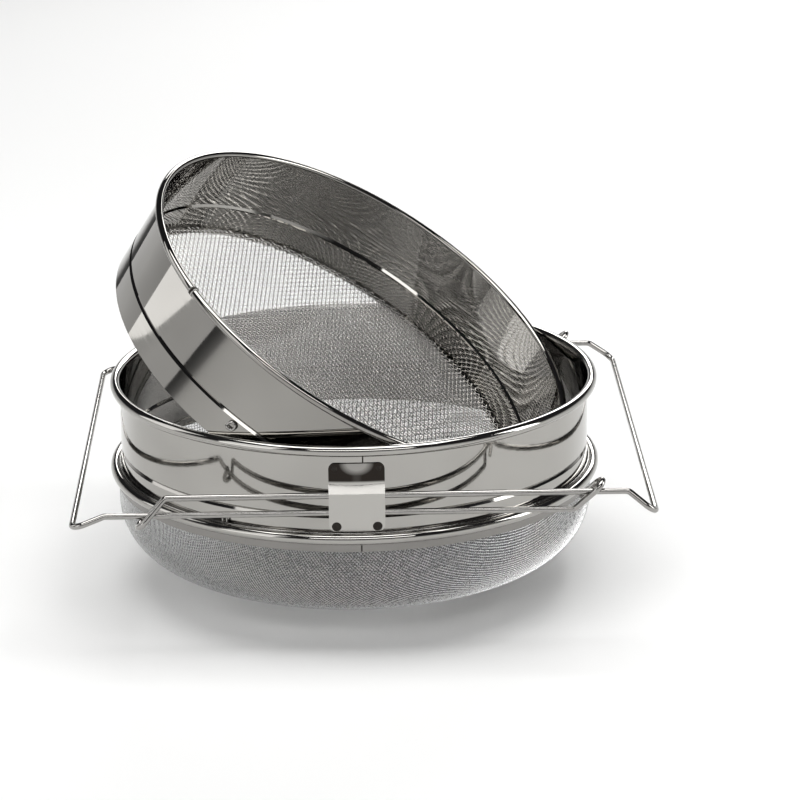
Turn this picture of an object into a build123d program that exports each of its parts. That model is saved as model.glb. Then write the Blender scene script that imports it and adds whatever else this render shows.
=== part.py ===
from build123d import *

import math
import os

# Double sieve strainer, millimetres. The origin is the centre of the small flat at the bottom of the
# fine sieve, on the surface it stands on. +Z is up, and the arms slide along X.

# Sheet, wire and fits
sheet = 0.6
arm_wire = 3.0
bead_turn = 312.0  # how far round each rim is rolled, degrees
core_gap = 0.05  # between a rim's core wire and the sheet rolled round it
rest_gap = 0.05  # between a thin wire and what it lies against
running_gap = 0.3
beyond = 400.0  # longer than the whole object, for bodies that only trim others

# Fine sieve: a dished cloth below a rolled rim
fine_rim_outer = 123.6
fine_bead = 5.2
fine_rim_height = 59.8
ledge_height = 52.9
ledge_inner = 116.3
fine_wall_inner = fine_rim_outer - fine_bead
cloth = 0.6
cloth_top = 57.0
bowl_flat = 24.0
bowl_crown = 190.0
bowl_knuckle = 29.0
band_bottom = 53.2
band_thick = 0.8
band_inner = fine_wall_inner + 2 * sheet
clip_wire = 1.0
pin_wire = 0.9
pin_angle = -122.0
pin_width = 2.4
pin_height = 4.2
pin_bend = 1.1

# Frame ring
ring_rim_outer = 122.5
ring_bead = 5.2
ring_rim_height = 103.5
ring_wall_outer = ring_rim_outer - ring_bead + sheet
ring_bottom = ledge_height + sheet
ring_crease = 70.5
crease_depth = 0.8
crease_half = 1.2
ring_hem = 3.0

# Brackets: a strap spot welded to the ring, with a folded channel across its middle
bracket_sheet = 0.8
bracket_width = 26.6
bracket_top = 97.0
bracket_bottom = 63.0
bracket_corner = 3.0
channel_root_top = 87.0
channel_face_top = 83.0
channel_face_bottom = 69.5
channel_root_bottom = 68.0
channel_overrun = 4.0  # how far the untrimmed channel reaches inside the ring

# Arms: legs along X at both sides of the ring, crossbar along Y beyond it
leg_y = 119.7
crossbar_y = 124.5
loop_bend = 4.2
hook_bend = 3.0
leg_bend = 4.0
corner_bend = 5.0
hook_run = 13.0
hook_rise = 14.0
hook_outer = 5.5
hook_inner = 3.7
hook_tail_run = 3.0
hook_tail_rise = 4.6
left_leg_z = 73.0
left_crossbar_x = -134.8
left_crossbar_z = 68.4
left_bend_x = -119.5
left_hook_x = 103.0
right_leg_z = 81.6
right_crossbar_x = 141.5
right_crossbar_z = 71.6
right_bend_x = 128.4
right_hook_x = -90.5

# Coarse sieve, modelled level with its rim at height 0, then leaned in the ring
coarse_rim_outer = 118.2
coarse_bead = 4.0
coarse_wall_inner = coarse_rim_outer - coarse_bead
coarse_foot = -48.5
coarse_crease = -33.0
coarse_hem = 0.6
coarse_hem_inner = 110.6
coarse_cloth = 1.0
catch_wire = 1.4
catch_foot = -44.5
catch_bend = 0.9
curl_outer = 5.2
curl_bend = 1.85
curl_tip = 1.5
curl_height = -39.2
curl_angle = -91.5
curl_hole = 2.0
lean_angle = 33.45
lean_direction = -23.1
coarse_along = 6.8
coarse_height = 141.2


def turned(outline):
    """Solid of revolution about Z from a closed outline in the XZ plane."""
    return revolve(make_face(outline), Axis.Z, 360)


def turned_polygon(corners):
    """Solid of revolution from (radius, height) corners."""
    return turned(Polyline([(r, 0, z) for r, z in corners], close=True))


def arc_about(centre, radius, start, end):
    """Arc in the XZ plane about (radius, height) centre, from start to end in degrees."""
    angles = [math.radians(a) for a in (start, (start + end) / 2, end)]
    points = [
        (centre[0] + radius * math.cos(a), 0, centre[1] + radius * math.sin(a)) for a in angles
    ]
    return ThreePointArc(*points)


def rolled_wall(rim_outer, bead, rim_height, foot, crease=None):
    """Sheet wall with its top edge curled outwards into a bead, and an optional pressed-in crease.

    foot holds the corners of the wall's lower end, outside first, as (radius from the wall's inner
    face, height).
    """
    outer = bead / 2
    inner = outer - sheet
    centre = (rim_outer - outer, rim_height)
    wall_in = rim_outer - bead
    wall_out = wall_in + sheet
    crease_out = []
    crease_in = []
    if crease is not None:
        for rise, depth in ((crease_half, 0), (0, crease_depth), (-crease_half, 0)):
            crease_out.append((wall_out - depth, crease + rise))
            crease_in.insert(0, (wall_in - depth, crease + rise))
    lower_end = [(wall_in + r, z) for r, z in foot]
    side = [(wall_out, rim_height)] + crease_out + lower_end + crease_in + [(wall_in, rim_height)]
    outer_arc = arc_about(centre, outer, 180, 180 - bead_turn)
    inner_arc = arc_about(centre, inner, 180 - bead_turn, 180)
    outline = [
        outer_arc,
        Line(outer_arc @ 1, inner_arc @ 0),
        inner_arc,
        Polyline([(r, 0, z) for r, z in side]),
    ]
    return turned(Curve() + outline)


def core_wire(rim_outer, bead, rim_height):
    """Round wire inside a rolled rim."""
    radius = bead / 2 - sheet - core_gap
    return Pos(0, 0, rim_height) * Torus(rim_outer - bead / 2, radius)


def bowl_outline(inset):
    """Half section of the dished cloth: flat, crown arc, knuckle arc and straight side."""
    side = band_inner - inset
    knuckle_r = band_inner - bowl_knuckle
    reach = knuckle_r - bowl_flat
    knuckle_z = bowl_crown - math.sqrt((bowl_crown - bowl_knuckle) ** 2 - reach**2)
    turn = math.degrees(math.atan2(knuckle_z - bowl_crown, reach))
    return [
        Line((0, 0, inset), (bowl_flat, 0, inset)),
        arc_about((bowl_flat, bowl_crown), bowl_crown - inset, -90, turn),
        arc_about((knuckle_r, knuckle_z), bowl_knuckle - inset, turn, 0),
        Line((side, 0, knuckle_z), (side, 0, cloth_top)),
    ]


def wire_along(points, diameter, bends):
    """Round wire swept along a route of straight runs and tangent bends."""
    path = FilletPolyline(*points, radius=bends)
    return sweep(Plane(origin=path @ 0, z_dir=path % 0) * Circle(diameter / 2), path=path)


def bracket(side):
    """Folded sheet strap on the ring at y = side * radius, with a channel for two legs to slide in."""
    wall = ring_wall_outer
    face = leg_y + arm_wire / 2 + running_gap + bracket_sheet
    behind = wall - channel_overrun
    plate = Plane.XZ * Pos(0, (bracket_top + bracket_bottom) / 2) * RectangleRounded(
        bracket_width, bracket_top - bracket_bottom, bracket_corner
    )
    skin = Cylinder(wall + bracket_sheet, beyond) - Cylinder(wall, beyond)
    near_side = Pos(0, side * wall, 0) * Box(2 * bracket_width, 2 * bracket_width, beyond)
    flange = extrude(plate, wall * 2, both=True) & skin & near_side
    corners = [
        (side * behind, channel_root_top),
        (side * wall, channel_root_top),
        (side * face, channel_face_top),
        (side * face, channel_face_bottom),
        (side * wall, channel_root_bottom),
        (side * behind, channel_root_bottom),
    ]
    section = make_face(Polyline([(0, y, z) for y, z in corners], close=True))
    hollow = offset(section, -bracket_sheet, kind=Kind.INTERSECTION)
    body = extrude(section, bracket_width / 2, both=True)
    cavity = extrude(hollow, bracket_width, both=True)
    inside_ring = Cylinder(wall, beyond)
    return (flange - body) + (body - cavity - inside_ring)


def arm(bend_x, crossbar_x, crossbar_z, leg_z, hook_x, hook_up):
    """One wire: hairpin hook, leg, offset bend, crossbar, and the same again on the other side."""
    away = 1 if hook_x > 0 else -1
    tip_x = hook_x + away * hook_run
    tip_z = leg_z + hook_up * hook_rise

    def half(side):
        tail_y = side * (leg_y - hook_inner)
        return [
            (hook_x + away * hook_tail_run, tail_y, leg_z + hook_up * hook_tail_rise),
            (tip_x, tail_y, tip_z),
            (tip_x, side * (leg_y + hook_outer), tip_z),
            (hook_x, side * leg_y, leg_z),
            (bend_x, side * leg_y, leg_z),
            (crossbar_x, side * crossbar_y, crossbar_z),
        ]

    bends = [loop_bend, loop_bend, hook_bend, leg_bend, corner_bend]
    return wire_along(half(-1) + half(1)[::-1], arm_wire, bends + bends[::-1])


def leaned(shape):
    """Puts a level coarse-sieve piece into its leaning place in the ring."""
    turn = math.radians(lean_direction)
    place = Pos(coarse_along * math.cos(turn), coarse_along * math.sin(turn), coarse_height)
    return place * Rot(0, 0, lean_direction) * Rot(0, lean_angle, 0) * shape


parts = {}

# Fine sieve. Its ledge carries the frame ring
ledge_reach = ledge_inner - fine_wall_inner
parts["fine_rim"] = rolled_wall(
    fine_rim_outer,
    fine_bead,
    fine_rim_height,
    [
        (sheet, ledge_height),
        (ledge_reach, ledge_height),
        (ledge_reach, ledge_height + sheet),
        (0, ledge_height + sheet),
    ],
)
parts["fine_rim_wire"] = core_wire(fine_rim_outer, fine_bead, fine_rim_height)
cloth_edge = Line((band_inner, 0, cloth_top), (band_inner - cloth, 0, cloth_top))
cloth_axis = Line((0, 0, cloth), (0, 0, 0))
parts["fine_mesh_bowl"] = turned(
    Curve() + bowl_outline(0) + [cloth_edge] + bowl_outline(cloth) + [cloth_axis]
)
parts["fine_mesh_band"] = turned_polygon(
    [
        (band_inner, band_bottom),
        (band_inner + band_thick, band_bottom),
        (band_inner + band_thick, cloth_top),
        (band_inner, cloth_top),
    ]
)

# Clip wire in the groove between the fine sieve's bead and the frame ring, with a bent-up pin
clip_r = ring_wall_outer + running_gap + clip_wire / 2
clip_reach = (fine_bead + clip_wire) / 2 + rest_gap
bead_r = fine_rim_outer - fine_bead / 2
clip_z = fine_rim_height + math.sqrt(clip_reach**2 - (bead_r - clip_r) ** 2)
pin_r = clip_r + clip_wire / 2
pin_top = clip_z + pin_height
pin_points = [
    (pin_r, -pin_width / 2, clip_z),
    (pin_r, -pin_width / 2, pin_top),
    (pin_r, pin_width / 2, pin_top),
    (pin_r, pin_width / 2, clip_z),
]
pin = Rot(0, 0, pin_angle) * wire_along(pin_points, pin_wire, pin_bend)
parts["fine_clip_wire"] = Pos(0, 0, clip_z) * Torus(clip_r, clip_wire / 2) + pin

# Frame ring
parts["ring_wall"] = rolled_wall(
    ring_rim_outer,
    ring_bead,
    ring_rim_height,
    [
        (sheet, ring_bottom),
        (-sheet, ring_bottom),
        (-sheet, ring_bottom + ring_hem),
        (0, ring_bottom + ring_hem),
    ],
    ring_crease,
)
parts["ring_rim_wire"] = core_wire(ring_rim_outer, ring_bead, ring_rim_height)
parts["front_bracket"] = bracket(-1)
parts["back_bracket"] = bracket(1)

# Arms
parts["left_arm"] = arm(
    left_bend_x, left_crossbar_x, left_crossbar_z, left_leg_z, left_hook_x, 1
)
parts["right_arm"] = arm(
    right_bend_x, right_crossbar_x, right_crossbar_z, right_leg_z, right_hook_x, -1
)

# Coarse sieve: wall with a hole for the catch wire, and the cloth on its folded hem
coarse_hem_reach = coarse_hem_inner - coarse_wall_inner
coarse_shell = rolled_wall(
    coarse_rim_outer,
    coarse_bead,
    0,
    [
        (sheet, coarse_foot),
        (coarse_hem_reach, coarse_foot),
        (coarse_hem_reach, coarse_foot + coarse_hem),
        (0, coarse_foot + coarse_hem),
    ],
    coarse_crease,
)
drill = Pos(coarse_wall_inner, 0, curl_height) * Rot(0, 90, 0) * Cylinder(curl_hole / 2, curl_outer)
parts["coarse_wall"] = leaned(coarse_shell - Rot(0, 0, curl_angle) * drill)
parts["coarse_rim_wire"] = leaned(core_wire(coarse_rim_outer, coarse_bead, 0))
cloth_foot = coarse_foot + coarse_hem
parts["coarse_mesh"] = leaned(
    Pos(0, 0, cloth_foot + coarse_cloth / 2) * Cylinder(coarse_wall_inner, coarse_cloth)
)

# Catch wire: its foot lies inside the wall, and it is led out through the hole and curled round outside
foot_r = coarse_wall_inner - rest_gap - catch_wire / 2
curl_r = coarse_wall_inner + sheet + running_gap + catch_wire / 2
curl_side = curl_outer - catch_wire
catch_points = [
    (foot_r, 0, catch_foot),
    (foot_r, 0, curl_height),
    (curl_r, 0, curl_height),
    (curl_r, curl_side, curl_height),
    (curl_r, curl_side, curl_height + curl_side),
    (curl_r, 0, curl_height + curl_side),
    (curl_r, 0, curl_height + curl_tip),
]
catch_bends = [catch_bend, catch_bend, curl_bend, curl_bend, curl_bend]
catch = Rot(0, 0, curl_angle) * wire_along(catch_points, catch_wire, catch_bends)
parts["coarse_catch_wire"] = leaned(catch)

os.makedirs("parts", exist_ok=True)
for name, shape in parts.items():
    shape.label = name
    export_step(shape, f"parts/{name}.step")
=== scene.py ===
# %% [markdown]
# # A double sieve strainer in polished stainless steel
# A beekeeper pours honey through two sieves. The upper one has a flat coarse cloth that catches wax, and
# the lower one a dished fine cloth. Between them sits a ring with two wire arms that slide out and lie
# across a bucket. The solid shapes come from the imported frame. What is made here is what a solid can't
# show: woven wire, weld marks, joints in the rolled rims, and the way polished sheet mirrors a studio.

# %% Load the frame
import math

import bmesh
import bpy
from mathutils import Matrix, Vector


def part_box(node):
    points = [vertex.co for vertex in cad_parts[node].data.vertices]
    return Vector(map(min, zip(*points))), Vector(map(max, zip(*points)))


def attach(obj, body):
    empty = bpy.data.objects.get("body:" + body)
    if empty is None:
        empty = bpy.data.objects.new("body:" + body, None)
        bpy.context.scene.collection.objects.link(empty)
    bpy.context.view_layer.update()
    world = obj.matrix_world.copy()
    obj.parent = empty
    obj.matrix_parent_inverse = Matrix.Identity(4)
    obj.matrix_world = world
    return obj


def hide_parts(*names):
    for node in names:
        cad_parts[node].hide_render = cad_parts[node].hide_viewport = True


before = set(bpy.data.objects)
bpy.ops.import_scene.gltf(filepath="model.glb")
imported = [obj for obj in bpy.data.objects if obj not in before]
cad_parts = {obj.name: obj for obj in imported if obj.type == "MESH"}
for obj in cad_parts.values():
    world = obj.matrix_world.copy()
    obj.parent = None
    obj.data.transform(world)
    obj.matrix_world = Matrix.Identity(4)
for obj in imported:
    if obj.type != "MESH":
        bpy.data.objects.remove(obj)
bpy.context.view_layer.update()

mm = 0.001

# %% [markdown]
# ## Where things are
# Most places are read from the frame. The upright pieces share the vertical axis, so their radius
# is half of their box. The coarse sieve leans, so its own axis is read from its cloth: the widest face
# of that flat disc gives the direction, and the middle of its points gives the centre.

# %% Measure the round pieces and the leaning sieve


def radius_of(node):
    """Largest radius of an upright node about the vertical axis."""
    low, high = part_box(node)
    return (high.x - low.x) / 2


def disc_place(node):
    """Matrix of a flat disc: its middle, X down the slope, Z along its axis."""
    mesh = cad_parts[node].data
    axis = max(mesh.polygons, key=lambda face: face.area).normal.copy()
    if axis.z < 0:
        axis.negate()
    level = Vector((axis.x, axis.y, 0)).normalized()
    down = (level - level.dot(axis) * axis).normalized()
    turn = Matrix((down, axis.cross(down), axis)).transposed()
    local = [turn.transposed() @ v.co for v in mesh.vertices]
    middle = [(min(p[i] for p in local) + max(p[i] for p in local)) / 2 for i in range(3)]
    reach = max(math.hypot(p.x - middle[0], p.y - middle[1]) for p in local)
    return Matrix.Translation(turn @ Vector(middle)) @ turn.to_4x4(), reach


upright = Matrix.Identity(4)
leaning, coarse_reach = disc_place("coarse_mesh")
bowl_reach = radius_of("fine_mesh_bowl")
bowl_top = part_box("fine_mesh_bowl")[1].z
ring_reach = radius_of("ring_wall")
lean = math.degrees(leaning.to_euler().y)
print("coarse cloth radius", round(coarse_reach / mm, 2), "leans", round(lean, 1), "degrees")
print("bowl radius", round(bowl_reach / mm, 2), "bowl top", round(bowl_top / mm, 2))

# %% [markdown]
# ## Colours and nodes
# Artists pick colours as sRGB hex values, but Blender's shaders count in linear light, so one function
# turns the one into the other. A second adds a shader node, sets it and links it in one line, which
# keeps each material short enough to read.

# %% Helpers for materials
# A Mix node has its A, B and result once for each type of data, so the colour ones go by number.
mix_factor, mix_first, mix_second, mix_result = 0, 6, 7, 2


def hex_linear(code):
    """Linear RGBA of an sRGB hex colour, by the curve that the sRGB standard gives."""
    parts = [int(code[i : i + 2], 16) / 255 for i in (1, 3, 5)]
    return [c / 12.92 if c <= 0.04045 else ((c + 0.055) / 1.055) ** 2.4 for c in parts] + [1.0]


def add_node(tree, kind, links=None, **settings):
    """A node with its settings, and its inputs linked to sockets or set to values."""
    node = tree.nodes.new(kind)
    for name, value in settings.items():
        setattr(node, name, value)
    for key, value in (links or {}).items():
        socket = node.inputs[key]
        if isinstance(value, bpy.types.NodeSocket):
            tree.links.new(value, socket)
        else:
            socket.default_value = value
    return node


def new_material(name):
    """An empty node material, with its output node."""
    material = bpy.data.materials.new(name)
    material.use_nodes = True
    material.node_tree.nodes.clear()
    output = material.node_tree.nodes.new("ShaderNodeOutputMaterial")
    return material, material.node_tree, output


def blend_colours(tree, factor, first, second):
    """Colour between two hex colours by a factor socket."""
    mix = add_node(tree, "ShaderNodeMix", data_type="RGBA")
    tree.links.new(factor, mix.inputs[mix_factor])
    mix.inputs[mix_first].default_value = hex_linear(first)
    mix.inputs[mix_second].default_value = hex_linear(second)
    return mix.outputs[mix_result]


def own_coordinates(tree, place):
    """Object coordinates counted in the frame of a piece that leans or stands at place."""
    back = place.inverted()
    coordinates = add_node(tree, "ShaderNodeTexCoord")
    mapping = add_node(tree, "ShaderNodeMapping", {"Vector": coordinates.outputs["Object"]})
    mapping.inputs["Location"].default_value = back.translation
    mapping.inputs["Rotation"].default_value = back.to_euler()
    return mapping.outputs["Vector"]


middle_grey = "#808080"
print("hex", middle_grey, "in linear light:", [round(c, 3) for c in hex_linear(middle_grey)])

# %% [markdown]
# ## Polished sheet
# The walls and rims are cold-rolled stainless sheet, mirror polished and then rolled into hoops. It is
# plain metal, so nearly all of its look is reflection. Two things keep it from being a perfect mirror:
# the polishing wheel leaves faint streaks round the hoop, and thin sheet is never quite flat, so what it
# reflects wavers. The streaks are noise on the unrolled wall, long round the hoop and about a millimetre
# high, coarser than real ones so that they show. The wavering is a broad bump 30 to 40 mm across. The
# shades are darker than real polished stainless steel, because upright walls mirror the white floor of
# this studio and would come out too pale.

# %% Material: mirror-polished rolled stainless sheet
streak_length = 45 * mm
streak_height = 1.1 * mm
ripple_size = 34 * mm
ripple_depth = 0.06 * mm
coarse_ripple_depth = 0.03 * mm
streak_depth = 0.0008 * mm
# Most values of a noise texture lie between these two, so they are stretched over the roughness range.
noise_low = 0.3
noise_high = 0.7


def polished_sheet(
    name, place, reach, roughness=(0.03, 0.09), ripple=ripple_depth, shades=("#9C9A96", "#ACAAA6")
):
    """Steel with streaks round the axis of place, for a hoop of radius reach."""
    material, tree, output = new_material(name)
    own = own_coordinates(tree, place)
    split = add_node(tree, "ShaderNodeSeparateXYZ", {0: own})
    turn = add_node(tree, "ShaderNodeMath", {0: split.outputs[1], 1: split.outputs[0]}, operation="ARCTAN2")
    along = add_node(
        tree, "ShaderNodeMath", {0: turn.outputs[0], 1: reach / streak_length}, operation="MULTIPLY"
    )
    up = add_node(tree, "ShaderNodeMath", {0: split.outputs[2], 1: 1 / streak_height}, operation="MULTIPLY")
    unrolled = add_node(tree, "ShaderNodeCombineXYZ", {0: along.outputs[0], 1: up.outputs[0]})
    streaks = add_node(
        tree, "ShaderNodeTexNoise", {"Vector": unrolled.outputs[0], "Scale": 1.0, "Detail": 3.0}
    )
    ripples = add_node(
        tree, "ShaderNodeTexNoise", {"Vector": own, "Scale": 1 / ripple_size, "Detail": 1.0}
    )
    rough = add_node(
        tree,
        "ShaderNodeMapRange",
        {"Value": streaks.outputs[0], "From Min": noise_low, "From Max": noise_high},
    )
    rough.inputs["To Min"].default_value, rough.inputs["To Max"].default_value = roughness
    wave = add_node(
        tree, "ShaderNodeBump", {"Height": ripples.outputs[0], "Strength": 1.0, "Distance": ripple}
    )
    fine = add_node(
        tree,
        "ShaderNodeBump",
        {
            "Height": streaks.outputs[0],
            "Strength": 1.0,
            "Distance": streak_depth,
            "Normal": wave.outputs[0],
        },
    )
    colour = blend_colours(tree, ripples.outputs[0], *shades)
    shader = add_node(
        tree,
        "ShaderNodeBsdfPrincipled",
        {
            "Base Color": colour,
            "Metallic": 1.0,
            "Roughness": rough.outputs[0],
            "Normal": fine.outputs[0],
        },
    )
    tree.links.new(shader.outputs[0], output.inputs[0])
    return material


ring_steel = polished_sheet("mirror-polished_stainless_ring", upright, ring_reach)
# The coarse sieve's shades are a darker copy of the ring's: painted shade on the same polished sheet.
coarse_steel = polished_sheet(
    "mirror-polished_stainless_coarse_sieve_painted_shade",
    leaning,
    coarse_reach,
    roughness=(0.02, 0.06),
    ripple=coarse_ripple_depth,
    shades=("#8A8884", "#9A9894"),
)
band_steel = polished_sheet(
    "satin_stainless_cloth_band", upright, bowl_reach, roughness=(0.3, 0.42), shades=("#7F7D7A", "#918F8C")
)
print("sheet materials:", ring_steel.name, coarse_steel.name, band_steel.name)

# %% [markdown]
# ## Brackets with a dark upper plate
# Each bracket is a folded strip, spot welded to the ring. Its upper plate looks almost black with a
# paler half-round patch at the middle of its top edge, while the fold and the face below are bright.
# The dark plate and its paler patch are a painted reflection together with heat tinting, drawn into
# the colour by height on the bracket and by distance from that patch. How much of that is heat tint
# and how much is reflection can't be told, so this is a guess: all of it is drawn as a tint, by height
# on the bracket and by distance from that patch. This painted reflection stays put when the light or
# the view changes, which a real reflection wouldn't.

# %% Material: spot-welded bracket with painted reflection and heat tinting
bracket_low, bracket_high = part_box("front_bracket")
# The painted dark reflection and heat tinting begin and are full at these parts of the bracket's height.
dark_plate_start = 0.715
dark_plate_full = 0.745
# The paler painted patch, and the distances from its middle, in parts of its own size, where it starts and
# stops fading into the painted dark. Inside it this much of the painted dark is left.
patch_width = 8 * mm
patch_height = 6 * mm
fade_start = 0.55
fade_end = 1.05
dark_plate_left = 0.35
tint_cloud = 9 * mm
bracket_roughness = (0.1, 0.26)
clean_shade = "#B2B0AC"
# The dark colour of the upper plate: painted reflection with heat tinting.
reflection_and_tinting_shade = "#2C2825"


def bracket_sheet():
    """Bright steel below, painted dark reflection with heat tinting above, paler at the middle of the top
    edge.
    """
    material, tree, output = new_material("folded_stainless_bracket_with_heat_tint")
    own = own_coordinates(tree, upright)
    split = add_node(tree, "ShaderNodeSeparateXYZ", {0: own})
    rise = add_node(
        tree,
        "ShaderNodeMapRange",
        {
            "Value": split.outputs[2],
            "From Min": bracket_low.z + dark_plate_start * (bracket_high.z - bracket_low.z),
            "From Max": bracket_low.z + dark_plate_full * (bracket_high.z - bracket_low.z),
        },
    )
    from_top = add_node(
        tree,
        "ShaderNodeMapRange",
        {"Value": split.outputs[2], "From Min": bracket_high.z - patch_height, "From Max": bracket_high.z},
    )
    from_top.inputs["To Min"].default_value, from_top.inputs["To Max"].default_value = 1.0, 0.0
    from_middle = add_node(
        tree, "ShaderNodeMath", {0: split.outputs[0], 1: 1 / patch_width}, operation="MULTIPLY"
    )
    spot = add_node(tree, "ShaderNodeCombineXYZ", {0: from_middle.outputs[0], 1: from_top.outputs[0]})
    reach = add_node(tree, "ShaderNodeVectorMath", {0: spot.outputs[0]}, operation="LENGTH")
    around = add_node(
        tree, "ShaderNodeMapRange", {"Value": reach.outputs[1], "From Min": fade_start, "From Max": fade_end}
    )
    around.inputs["To Min"].default_value = dark_plate_left
    # How dark the upper plate is painted, as reflection with heat tinting.
    plate_darkness = add_node(tree, "ShaderNodeMath", {0: rise.outputs[0], 1: around.outputs[0]}, operation="MULTIPLY")
    clouds = add_node(
        tree, "ShaderNodeTexNoise", {"Vector": own, "Scale": 1 / tint_cloud, "Detail": 2.0}
    )
    rough = add_node(tree, "ShaderNodeMapRange", {"Value": clouds.outputs[0]})
    rough.inputs["To Min"].default_value, rough.inputs["To Max"].default_value = bracket_roughness
    shader = add_node(
        tree,
        "ShaderNodeBsdfPrincipled",
        {
            "Base Color": blend_colours(tree, plate_darkness.outputs[0], clean_shade, reflection_and_tinting_shade),
            "Metallic": 1.0,
            "Roughness": rough.outputs[0],
        },
    )
    tree.links.new(shader.outputs[0], output.inputs[0])
    return material


bracket_steel = bracket_sheet()
print("bracket from", round(bracket_low.z / mm, 1), "to", round(bracket_high.z / mm, 1), "mm high")

# %% [markdown]
# ## Drawn wire
# The arms, the core wires and the thin clip wires are hard-drawn stainless wire. Pulling it through a
# die leaves it bright, with faint lines along its length and a skin a little duller than polished
# sheet. The wire runs in every direction, so instead of lines the material has fine three-dimensional
# grain that varies the roughness, and a slight bump. The fine cloth's warp, the outer layer, is painted
# lighter as painted light, and its weft, the inner layer, is painted darker as painted shade, which real
# cloth isn't, so that the weave still reads as crossed wires from a distance. The coarse cloth's wire is
# painted near white, lighter than the same steel of the arms, as painted light.

# %% Material: bright-drawn stainless wire
grain_size = 1.6 * mm
grain_depth = 0.003 * mm


def drawn_wire(name, light, dark, roughness):
    """Wire steel that varies between two shades and two roughnesses."""
    material, tree, output = new_material(name)
    own = own_coordinates(tree, upright)
    grain = add_node(
        tree, "ShaderNodeTexNoise", {"Vector": own, "Scale": 1 / grain_size, "Detail": 4.0}
    )
    rough = add_node(
        tree, "ShaderNodeMapRange", {"Value": grain.outputs[0], "From Min": noise_low, "From Max": noise_high}
    )
    rough.inputs["To Min"].default_value, rough.inputs["To Max"].default_value = roughness
    bump = add_node(
        tree,
        "ShaderNodeBump",
        {"Height": grain.outputs[0], "Strength": 1.0, "Distance": grain_depth},
    )
    shader = add_node(
        tree,
        "ShaderNodeBsdfPrincipled",
        {
            "Base Color": blend_colours(tree, grain.outputs[0], dark, light),
            "Metallic": 1.0,
            "Roughness": rough.outputs[0],
            "Normal": bump.outputs[0],
        },
    )
    tree.links.new(shader.outputs[0], output.inputs[0])
    return material


arm_steel = drawn_wire("bright-drawn_stainless_wire", "#A9A7A4", "#918F8C", (0.08, 0.16))
# Painted light: the outer warp is drawn lighter than the same wire elsewhere.
fine_warp_lit_steel = drawn_wire("woven_stainless_wire_fine_warp_painted_light", "#DEDEDE", "#CCCCCC", (0.22, 0.34))
# Painted shade: the inner weft is drawn darker than the same wire elsewhere.
fine_weft_shaded_steel = drawn_wire("woven_stainless_wire_fine_weft_painted_shade", "#868686", "#767676", (0.3, 0.42))
# Painted light: the coarse cloth's wire is drawn near white.
coarse_wire_lit_steel = drawn_wire("woven_stainless_wire_coarse_painted_light", "#F2F1EF", "#E6E4E1", (0.16, 0.28))
print("wire materials:", arm_steel.name, fine_warp_lit_steel.name, coarse_wire_lit_steel.name)

# %% [markdown]
# ## Heat-marked welds
# Spot welds and butt joints are left as they come, with a skin of black to brown oxide. Oxide is rough
# and only partly metallic, so it reads as a dark mark on bright sheet. On real steel the mark fades
# outwards through straw to clean metal. That halo is left out, and each mark ends with its piece.

# %% Material: oxidised weld steel
oxide_size = 0.9 * mm
oxide_depth = 0.05 * mm
black_oxide = "#0E0C0A"
brown_oxide = "#3A342E"


def oxidised_steel():
    """Dark, rough steel, mottled between black and brown."""
    material, tree, output = new_material("heat-oxidised_weld_steel")
    own = own_coordinates(tree, upright)
    scale = add_node(tree, "ShaderNodeTexNoise", {"Vector": own, "Scale": 1 / oxide_size, "Detail": 4.0})
    bump = add_node(
        tree, "ShaderNodeBump", {"Height": scale.outputs[0], "Strength": 1.0, "Distance": oxide_depth}
    )
    shader = add_node(
        tree,
        "ShaderNodeBsdfPrincipled",
        {
            "Base Color": blend_colours(tree, scale.outputs[0], black_oxide, brown_oxide),
            "Metallic": 0.6,
            "Roughness": 0.5,
            "Normal": bump.outputs[0],
        },
    )
    tree.links.new(shader.outputs[0], output.inputs[0])
    return material


weld_steel = oxidised_steel()
print("weld material:", weld_steel.name)

# %% [markdown]
# ## Give the solid pieces their steel
# The frame's own nodes keep their shape and only change material.

# %% Dress the nodes
dressing = {
    ring_steel: ["ring_wall", "fine_rim"],
    band_steel: ["fine_mesh_band"],
    coarse_steel: ["coarse_wall"],
    bracket_steel: ["front_bracket", "back_bracket"],
    arm_steel: [
        "left_arm",
        "right_arm",
        "ring_rim_wire",
        "fine_rim_wire",
        "coarse_rim_wire",
        "fine_clip_wire",
        "coarse_catch_wire",
    ],
}
for material, nodes in dressing.items():
    for name in nodes:
        for steel_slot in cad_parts[name].material_slots:
            steel_slot.material = material
print("dressed", sum(len(nodes) for nodes in dressing.values()), "nodes")

# %% [markdown]
# ## Woven wire
# A cloth of wire is hundreds of wires, and each is a line with a round section, so the natural tool is
# a curve with a bevel. All the wires of one direction go into one curve, which is turned into a mesh
# with few sides, because there are so many.

# %% Helper: a set of wires as one mesh
# The level of a curve's bevel sets how many sides each wire has.
four_sides = 0
six_sides = 1


def wire_mesh(name, routes, thickness, level, material, closed=False):
    """Mesh object of round wires along routes, lists of points."""
    curve = bpy.data.curves.new(name, "CURVE")
    curve.dimensions = "3D"
    curve.bevel_depth = thickness / 2
    curve.bevel_resolution = level
    curve.use_fill_caps = not closed
    for route in routes:
        spline = curve.splines.new("POLY")
        spline.points.add(len(route) - 1)
        spline.points.foreach_set("co", [c for p in route for c in (p[0], p[1], p[2], 1.0)])
        spline.use_cyclic_u = closed
    holder = bpy.data.objects.new(name + "_curve", curve)
    mesh = bpy.data.meshes.new_from_object(holder)
    mesh.name = name
    bpy.data.objects.remove(holder)
    bpy.data.curves.remove(curve)
    mesh.shade_smooth()
    mesh.materials.clear()
    mesh.materials.append(material)
    piece = bpy.data.objects.new(name, mesh)
    bpy.context.scene.collection.objects.link(piece)
    mesh.calc_loop_triangles()
    print(name, "wires", len(routes), "triangles", len(mesh.loop_triangles))
    return piece


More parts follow.
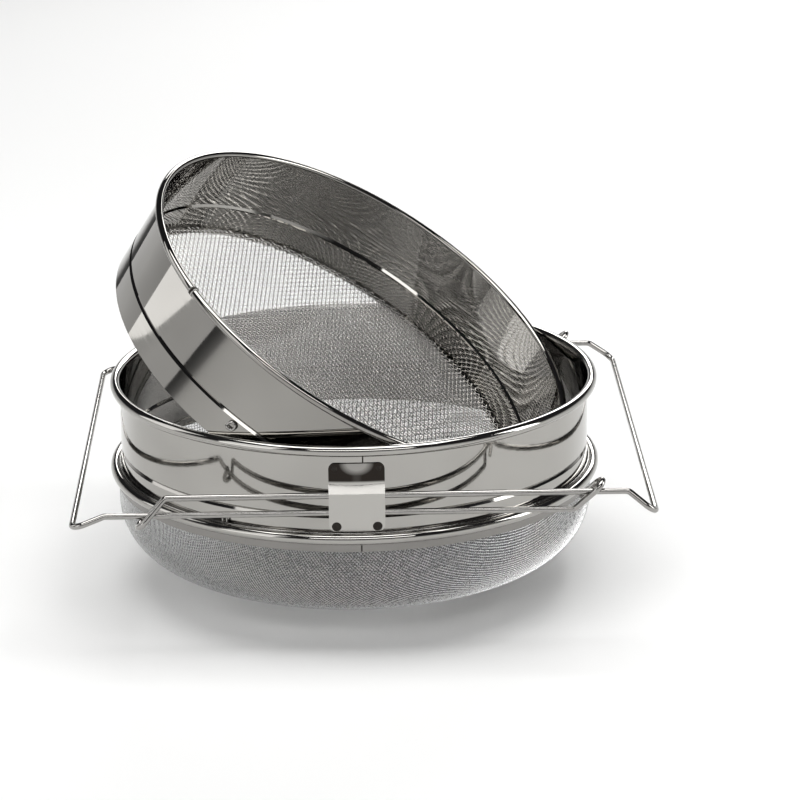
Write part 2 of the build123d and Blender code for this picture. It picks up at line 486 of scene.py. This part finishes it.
# %% [markdown]
# ## Coarse cloth
# The upper cloth is plain weave: each wire goes over one and under the next. It is woven flat with a
# pitch of 2.3 mm, and it closes the bottom of the sieve. A wire here has two points at each crossing, a
# little before and after it, both at the height where it passes over or under. The straight pieces
# between give the crimp that real wire takes from the loom.

# %% Weave the coarse cloth
coarse_pitch = 2.3 * mm
coarse_wire = 0.5 * mm
coarse_turn = math.radians(23.5)
coarse_margin = 0.3 * mm
coarse_edge = coarse_reach - coarse_margin
# The two points of a crossing lie this part of the pitch before and after it.
crimp_half = 0.2


def plain_weave(turn, phase):
    """Routes of one direction of a flat plain weave, in the sieve's own frame."""
    lines = int(coarse_edge / coarse_pitch)
    routes = []
    for i in range(-lines, lines + 1):
        offset = i * coarse_pitch
        half = math.sqrt(max(coarse_edge**2 - offset**2, 0))
        crossings = int(half / coarse_pitch)
        route = []
        for j in range(-crossings, crossings + 1):
            side = 1 if (i + j + phase) % 2 == 0 else -1
            for step in (-crimp_half, crimp_half):
                run = max(-half, min(half, (j + step) * coarse_pitch))
                route.append(Vector((run, offset, side * coarse_wire / 2)))
        routes.append([leaning @ (Matrix.Rotation(turn, 3, "Z") @ p) for p in route])
    return [r for r in routes if len(r) > 2]


for name, turn, phase in (
    ("coarse_cloth_warp", coarse_turn, 0),
    ("coarse_cloth_weft", coarse_turn - math.pi / 2, 1),
):
    cloth = wire_mesh(name, plain_weave(turn, phase), coarse_wire, six_sides, coarse_wire_lit_steel)
    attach(cloth, "coarse_sieve")
    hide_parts("coarse_mesh")

# %% [markdown]
# ## Fine cloth
# The lower cloth is woven flat too, then pressed into a dish over a former. Near its middle it keeps
# its square weave, and towards the side the squares shear. To follow that, each wire starts as a
# straight line on the flat cloth, and every point of it keeps its distance from the centre, measured
# along the dish. The dish is a small flat, a wide crown, and a tighter knuckle that runs up into a
# straight side. The real pitch is taken to be near half a millimetre, too fine to show, so it is drawn
# at 1.4 mm. At that scale warp and weft simply lie on each other instead of crossing over and under. The
# angle of the weave, 41 degrees, is a choice.

# %% Press the fine cloth
dish_flat = 24 * mm
dish_crown = 190 * mm
dish_knuckle = 29 * mm
fine_pitch = 1.4 * mm
fine_wire = 0.5 * mm
fine_step = 4.2 * mm
fine_margin = 0.5 * mm
cloth_middle = 0.3 * mm
layer_gap = 0.8 * fine_wire
fine_turn = math.radians(41)
# Keeps the division by distance safe for a point at the very centre, in metres.
least_distance = 1e-6

knuckle_centre = bowl_reach - dish_knuckle
knuckle_reach = knuckle_centre - dish_flat
crown_turn = math.asin(knuckle_reach / (dish_crown - dish_knuckle))
knuckle_height = dish_crown - (dish_crown - dish_knuckle) * math.cos(crown_turn)
crown_arc = dish_crown * crown_turn
knuckle_arc = dish_knuckle * (math.pi / 2 - crown_turn)
cloth_edge = dish_flat + crown_arc + knuckle_arc + bowl_top - knuckle_height
print("cloth half width", round(cloth_edge / mm, 1), "straight side from", round(knuckle_height / mm, 1))


def dish_point(distance, inset):
    """(radius, height) at a distance along the dish from its centre, inset from its outer skin."""
    if distance <= dish_flat:
        return distance, inset
    distance -= dish_flat
    if distance <= crown_arc:
        turn = distance / dish_crown
        return (
            dish_flat + (dish_crown - inset) * math.sin(turn),
            dish_crown - (dish_crown - inset) * math.cos(turn),
        )
    distance -= crown_arc
    if distance <= knuckle_arc:
        turn = crown_turn + distance / dish_knuckle
        return (
            knuckle_centre + (dish_knuckle - inset) * math.sin(turn),
            knuckle_height - (dish_knuckle - inset) * math.cos(turn),
        )
    return bowl_reach - inset, knuckle_height + distance - knuckle_arc


def pressed_weave(across, inset):
    """Routes of one direction of the dished cloth."""
    edge = cloth_edge - fine_margin
    lines = int(edge / fine_pitch)
    routes = []
    for i in range(-lines, lines + 1):
        offset = i * fine_pitch
        half = math.sqrt(max(edge**2 - offset**2, 0))
        steps = max(2, round(2 * half / fine_step))
        route = []
        for j in range(steps + 1):
            run = -half + 2 * half * j / steps
            u, v = (offset, run) if across else (run, offset)
            u, v = (
                u * math.cos(fine_turn) - v * math.sin(fine_turn),
                u * math.sin(fine_turn) + v * math.cos(fine_turn),
            )
            distance = max(math.hypot(u, v), least_distance)
            radius, height = dish_point(distance, inset)
            route.append((u / distance * radius, v / distance * radius, height))
        routes.append(route)
    return routes


for name, across, inset, material in (
    ("fine_cloth_warp", False, cloth_middle, fine_warp_lit_steel),
    ("fine_cloth_weft", True, cloth_middle + layer_gap, fine_weft_shaded_steel),
):
    cloth = wire_mesh(name, pressed_weave(across, inset), fine_wire, four_sides, material)
    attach(cloth, "fine_sieve")
    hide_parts("fine_mesh_bowl")

# %% [markdown]
# ## Spot welds
# A spot weld is made by two copper tips that squeeze and heat the sheets. It leaves a shallow round
# crater with a raised lip and a black burn. Each one is a low cone whose top is inset and pushed in, and
# it is set on the bracket where a level ray meets the metal.

# %% Make the spot welds of both brackets
weld_rise = 0.25 * mm
weld_sink = 0.08 * mm
weld_sides = 24
# The width of the cone's top, the width of its lip and the depth of its crater, as parts of the weld's
# radius, its radius again, and its height.
top_part = 0.82
lip_part = 0.3
crater_part = 0.6
# The rays start this far out, in metres, well outside the ring.
ray_start = 0.3
# How far a weld is from the middle, how high it is, and its radius.
upper_weld = (10.4 * mm, 94.4 * mm, 1.5 * mm)
lower_weld = (9.7 * mm, 65.4 * mm, 2.4 * mm)


def skin_place(node, x, z, side):
    """Matrix on a node's skin where a level ray meets it, Z outwards. side is -1 in front, 1 behind."""
    _, place, normal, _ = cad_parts[node].ray_cast(
        Vector((x, side * ray_start, z)), Vector((0, -side, 0))
    )
    return Matrix.Translation(place) @ normal.to_track_quat("Z", "Y").to_matrix().to_4x4()


def spot_weld(shape, place, reach):
    """Add one crater to a bmesh at place. The inset makes new points, so all that are new are moved."""
    before = set(shape.verts)
    made = bmesh.ops.create_cone(
        shape,
        cap_ends=True,
        segments=weld_sides,
        radius1=reach,
        radius2=reach * top_part,
        depth=weld_rise,
    )
    bmesh.ops.translate(shape, verts=made["verts"], vec=(0, 0, weld_rise / 2 - weld_sink))
    faces = {face for vert in made["verts"] for face in vert.link_faces}
    top = max(faces, key=lambda face: face.calc_center_median().z)
    bmesh.ops.inset_region(
        shape, faces=[top], thickness=reach * lip_part, depth=-weld_rise * crater_part
    )
    new_points = [vert for vert in shape.verts if vert not in before]
    bmesh.ops.transform(shape, matrix=place, verts=new_points)


def weld_piece(name, bracket, side):
    """All four spot welds of one bracket as one mesh."""
    shape = bmesh.new()
    for across, height, reach in (upper_weld, lower_weld):
        for hand in (-1, 1):
            spot_weld(shape, skin_place(bracket, hand * across, height, side), reach)
    bmesh.ops.recalc_face_normals(shape, faces=shape.faces)
    mesh = bpy.data.meshes.new(name)
    shape.to_mesh(mesh)
    shape.free()
    mesh.materials.append(weld_steel)
    piece = bpy.data.objects.new(name, mesh)
    bpy.context.scene.collection.objects.link(piece)
    depths = [vert.co.y / mm for vert in mesh.vertices]
    print(name, "faces", len(mesh.polygons), "y from", round(min(depths), 1), "to", round(max(depths), 1))
    return piece


for name, bracket, side in (
    ("front_bracket_welds", "front_bracket", -1),
    ("back_bracket_welds", "back_bracket", 1),
):
    piece = weld_piece(name, bracket, side)
    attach(piece, "frame_ring")

# %% [markdown]
# ## Seams
# Each hoop starts as a strip whose ends are butt welded, so there is one fine upright line in the wall.
# It is a thin bead laid along points found on the metal, which lets it follow the crease by itself.

# %% Lay the seams
seam_width = 0.7 * mm
seam_step = 0.7 * mm


def seam(name, node, x, low, high, body):
    """A thin weld line up the front of a node, from low to high."""
    steps = round((high - low) / seam_step)
    heights = [low + (high - low) * i / steps for i in range(steps + 1)]
    route = [skin_place(node, x, z, -1).translation for z in heights]
    piece = wire_mesh(name, [route], seam_width, six_sides, weld_steel)
    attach(piece, body)


seam("ring_wall_seam", "ring_wall", x=3 * mm, low=63.5 * mm, high=100.5 * mm, body="frame_ring")
seam("cloth_band_seam", "fine_mesh_band", x=2 * mm, low=53.6 * mm, high=56.6 * mm, body="fine_sieve")

# %% [markdown]
# ## Joint in the rolled rim
# The coarse sieve's rolled rim meets itself in one place, where the strip's two ends butt together.
# Two raised lips with a dark line between them run round the bead. The joint's bearing is chosen, and
# the bead's place and size are measured on the core wire and the wall, in the sieve's own leaning frame.

# %% Make the rim joint
joint_bearing = math.radians(242)
joint_gap = 1.1 * mm
joint_points = 28
joint_wire = 0.9 * mm


def radii(node):
    """Distances of a node's points from the leaning axis, and their heights along it."""
    back = leaning.inverted()
    local = [back @ v.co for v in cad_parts[node].data.vertices]
    return [math.hypot(p.x, p.y) for p in local], [p.z for p in local]


core_radii, core_heights = radii("coarse_rim_wire")
core_reach = (min(core_radii) + max(core_radii)) / 2
core_height = (min(core_heights) + max(core_heights)) / 2
bead_half = max(radii("coarse_wall")[0]) - core_reach


def loop_round_bead(bearing):
    """Points round the rolled bead at a bearing of the leaning sieve."""
    points = []
    for i in range(joint_points):
        turn = 2 * math.pi * i / joint_points
        reach = core_reach + bead_half * math.cos(turn)
        height = core_height + bead_half * math.sin(turn)
        points.append(leaning @ Vector((reach * math.cos(bearing), reach * math.sin(bearing), height)))
    return points


for name, shift, material in (
    ("rim_joint_first_lip", -joint_gap, arm_steel),
    ("rim_joint_line", 0.0, weld_steel),
    ("rim_joint_second_lip", joint_gap, arm_steel),
):
    route = loop_round_bead(joint_bearing + shift / core_reach)
    piece = wire_mesh(name, [route], joint_wire, six_sides, material, closed=True)
    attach(piece, "coarse_sieve")
print("bead radius", round(bead_half / mm, 2), "core circle radius", round(core_reach / mm, 2))

# %% [markdown]
# ## Floor, light and camera
# Polished steel shows the room more than itself, so the room is what makes it look like steel. A pale
# floor fills the lower half of every reflection. Above it large soft boxes stand in a darker room, and
# the edges between them draw the bright and dark bands on the curved walls.

# %% Floor
floor_half = 6.0
# The floor lies a little below the strainer's foot, so that the two surfaces never coincide.
floor_drop = 0.3 * mm
floor_mesh = bpy.data.meshes.new("floor")
shape = bmesh.new()
bmesh.ops.create_grid(shape, x_segments=1, y_segments=1, size=floor_half)
bmesh.ops.translate(shape, verts=shape.verts, vec=(0, 0, -floor_drop))
shape.to_mesh(floor_mesh)
shape.free()
floor = bpy.data.objects.new("floor", floor_mesh)
bpy.context.scene.collection.objects.link(floor)
floor_paint, tree, output = new_material("matt_white_studio_floor")
shader = add_node(
    tree, "ShaderNodeBsdfPrincipled", {"Base Color": hex_linear("#F4F4F3"), "Roughness": 0.9}
)
tree.links.new(shader.outputs[0], output.inputs[0])
floor_mesh.materials.append(floor_paint)
print("floor of", 2 * floor_half, "m")

# %% Lights
# The world fades from a pale horizon to a dark room above, between these heights of a unit ray.
horizon_top = 0.06
dark_from = 0.24
world = bpy.data.worlds.new("studio")
world.use_nodes = True
bpy.context.scene.world = world
tree = world.node_tree
tree.nodes.clear()
direction = add_node(tree, "ShaderNodeTexCoord")
split = add_node(tree, "ShaderNodeSeparateXYZ", {0: direction.outputs["Generated"]})
ramp = add_node(tree, "ShaderNodeValToRGB", {"Fac": split.outputs[2]})
ramp.color_ramp.elements[0].position = horizon_top
ramp.color_ramp.elements[0].color = hex_linear("#F2F2F2")
ramp.color_ramp.elements[1].position = dark_from
ramp.color_ramp.elements[1].color = hex_linear("#2E2E30")
studio = add_node(tree, "ShaderNodeBackground", {"Color": ramp.outputs[0], "Strength": 1.0})
add_node(tree, "ShaderNodeOutputWorld", {0: studio.outputs[0]})


def soft_box(name, place, target, width, height, power):
    """Rectangular area light at place, facing target."""
    light = bpy.data.lights.new(name, "AREA")
    light.shape = "RECTANGLE"
    light.size = width
    light.size_y = height
    light.energy = power
    lamp = bpy.data.objects.new(name, light)
    lamp.location = place
    lamp.rotation_euler = (Vector(target) - Vector(place)).to_track_quat("-Z", "Y").to_euler()
    bpy.context.scene.collection.objects.link(lamp)


# Each has a place, a point it faces, a width and a height in metres, and a power in watts.
for name, place, target, width, height, power in (
    ("soft_box_top", (0.0, 0.0, 1.9), (0, 0, 0), 1.7, 1.1, 29),
    ("soft_box_front", (0.1, -2.0, 1.55), (0, 0, 0.05), 1.9, 0.5, 11),
    ("soft_box_left_front", (-1.35, -1.15, 0.75), (0, 0, 0.1), 0.9, 1.4, 6.5),
    ("soft_box_left_back", (-1.75, 0.35, 0.9), (0, 0, 0.1), 0.9, 1.3, 6),
    ("soft_box_right", (1.8, -0.2, 0.8), (0, 0, 0.1), 0.5, 1.2, 14),
    ("soft_box_back", (0.3, 1.9, 1.0), (0, 0, 0.1), 1.2, 0.6, 14),
):
    soft_box(name, place, target, width, height, power)

# %% Camera
camera_place = Vector((-0.0093, -1.5696, 0.5990))
camera_aim = Vector((0.0233, -0.0005, 0.0898))
camera_roll = math.radians(-0.57)
lens = bpy.data.cameras.new("camera")
lens.sensor_width = 36
lens.lens = 146.8
lens.clip_start = 0.05
lens.clip_end = 50
camera = bpy.data.objects.new("camera", lens)
look = (camera_aim - camera_place).to_track_quat("-Z", "Y").to_matrix().to_4x4()
camera.matrix_world = Matrix.Translation(camera_place) @ look @ Matrix.Rotation(camera_roll, 4, "Z")
bpy.context.scene.collection.objects.link(camera)
bpy.context.scene.camera = camera
bpy.context.scene.view_settings.view_transform = "Standard"
print("camera", round((camera_aim - camera_place).length, 3), "m away")
